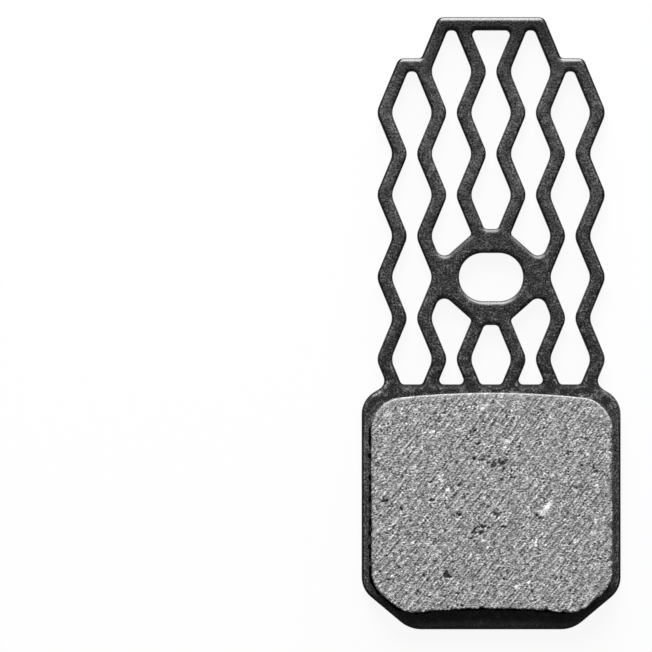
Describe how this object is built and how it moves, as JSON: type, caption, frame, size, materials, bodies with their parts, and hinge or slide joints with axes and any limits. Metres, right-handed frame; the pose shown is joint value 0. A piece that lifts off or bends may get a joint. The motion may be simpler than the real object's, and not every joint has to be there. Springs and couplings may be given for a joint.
{
  "type": "bicycle disc brake pad",
  "caption": "Finned bicycle disc brake pad: a flat backing plate with a wavy lattice cooling fin, and a friction block keyed into the plate.",
  "frame": {"origin": "on the back face, at the centre of the piston's push and midway between the key holes", "axes": "+X across the plate, +Y up the cooling fin, away from the rotor's axle, +Z out of the friction face"},
  "size_m": [0.024, 0.0567, 0.004],
  "materials": {
    "coated_plate": "satin",
    "friction_compound": "matte"
  },
  "bodies": {
    "root": {"backing_plate": "coated_plate", "friction_block": "friction_compound"}
  },
  "joints": []
}
